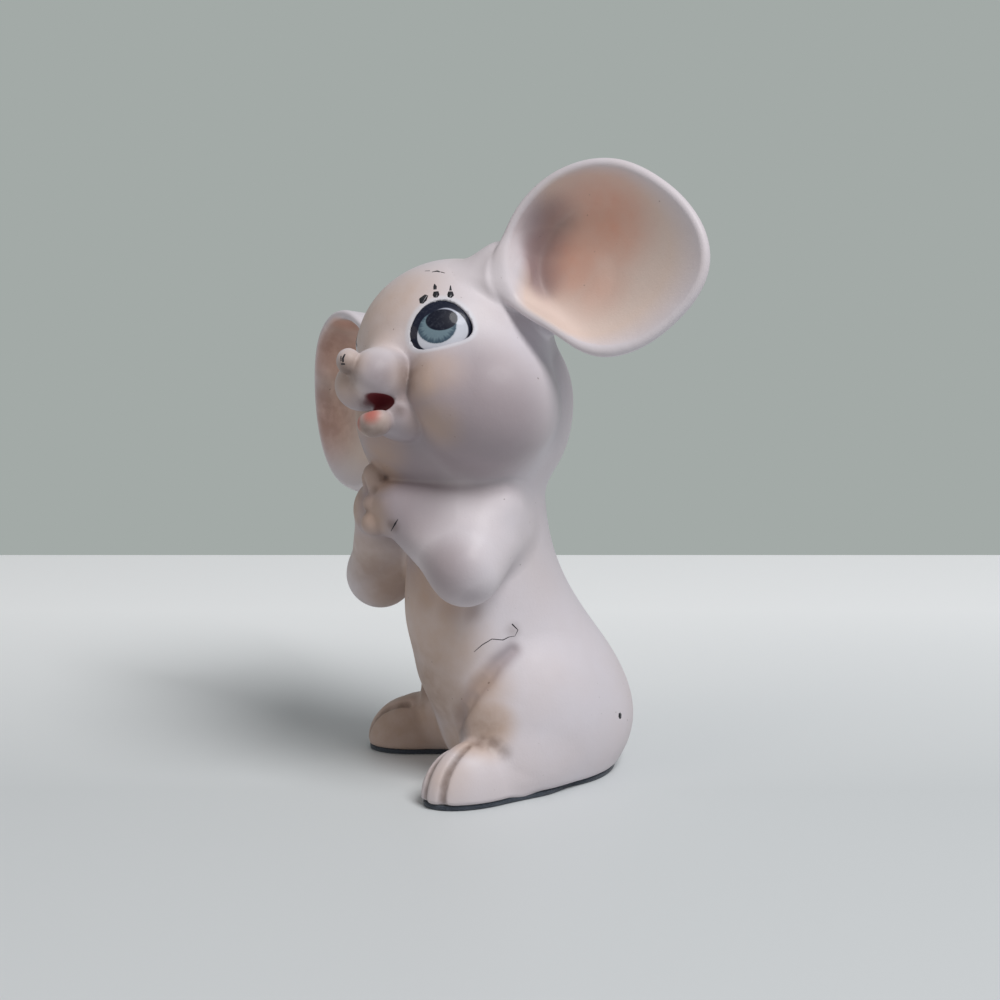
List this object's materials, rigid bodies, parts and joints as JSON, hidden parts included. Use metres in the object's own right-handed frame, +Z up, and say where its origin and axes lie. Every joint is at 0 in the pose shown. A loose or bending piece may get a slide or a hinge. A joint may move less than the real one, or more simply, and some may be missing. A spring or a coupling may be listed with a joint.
{
  "type": "mouse figurine",
  "caption": "Hollow ceramic mouse figurine sitting up with clasped hands, a tilted head with large cupped ears and painted eyes, on a felt pad.",
  "frame": {"origin": "on the standing surface, midway between the feet and below the middle of the body", "axes": "+Z up; the body faces -Y; the mouse's left side is +X"},
  "size_m": [0.1115, 0.0743, 0.1417],
  "materials": {
    "bisque": "satin pink with airbrushed tan blush",
    "eye_enamel": "glossy painted enamel",
    "felt": "dark pressed felt"
  },
  "bodies": {
    "root": {"body": "bisque", "head": "bisque", "ear_left": "bisque", "ear_right": "bisque", "arm_left": "bisque", "arm_right": "bisque", "foot_left": "bisque", "foot_right": "bisque", "eye_left": "eye_enamel", "eye_right": "eye_enamel", "felt_pad": "felt"}
  },
  "joints": []
}
